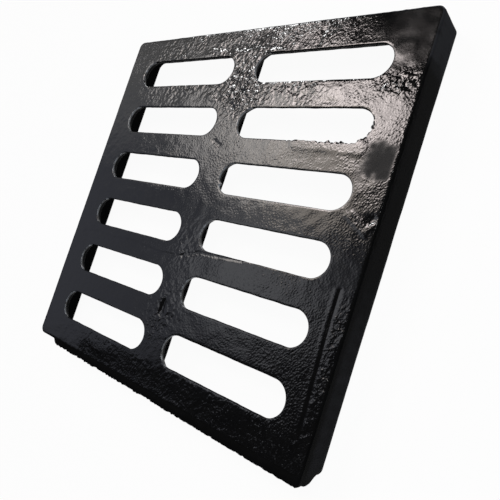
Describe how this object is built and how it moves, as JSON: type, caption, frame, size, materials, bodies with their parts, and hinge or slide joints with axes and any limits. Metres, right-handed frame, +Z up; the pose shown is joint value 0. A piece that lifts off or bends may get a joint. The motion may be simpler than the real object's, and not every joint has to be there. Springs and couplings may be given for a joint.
{
  "type": "drain grate",
  "caption": "Square cast iron drain grate with rows of round-ended slots, a skirt and a central rib underneath, painted glossy black.",
  "frame": {"origin": "centre of the box that the casting fills, at the level of the seat under the skirt", "axes": "+Z up, out of the tread face; +X to the right along the slots; +Y away from the edge that has the ragged fin, across the rows of slots"},
  "size_m": [0.3, 0.3052, 0.025],
  "materials": {
    "painted_iron": "sand-cast iron under a thick coat of glossy black bituminous paint, grainy, with worn patches of dull sheen"
  },
  "bodies": {
    "root": {"grate": "painted_iron"}
  },
  "joints": []
}
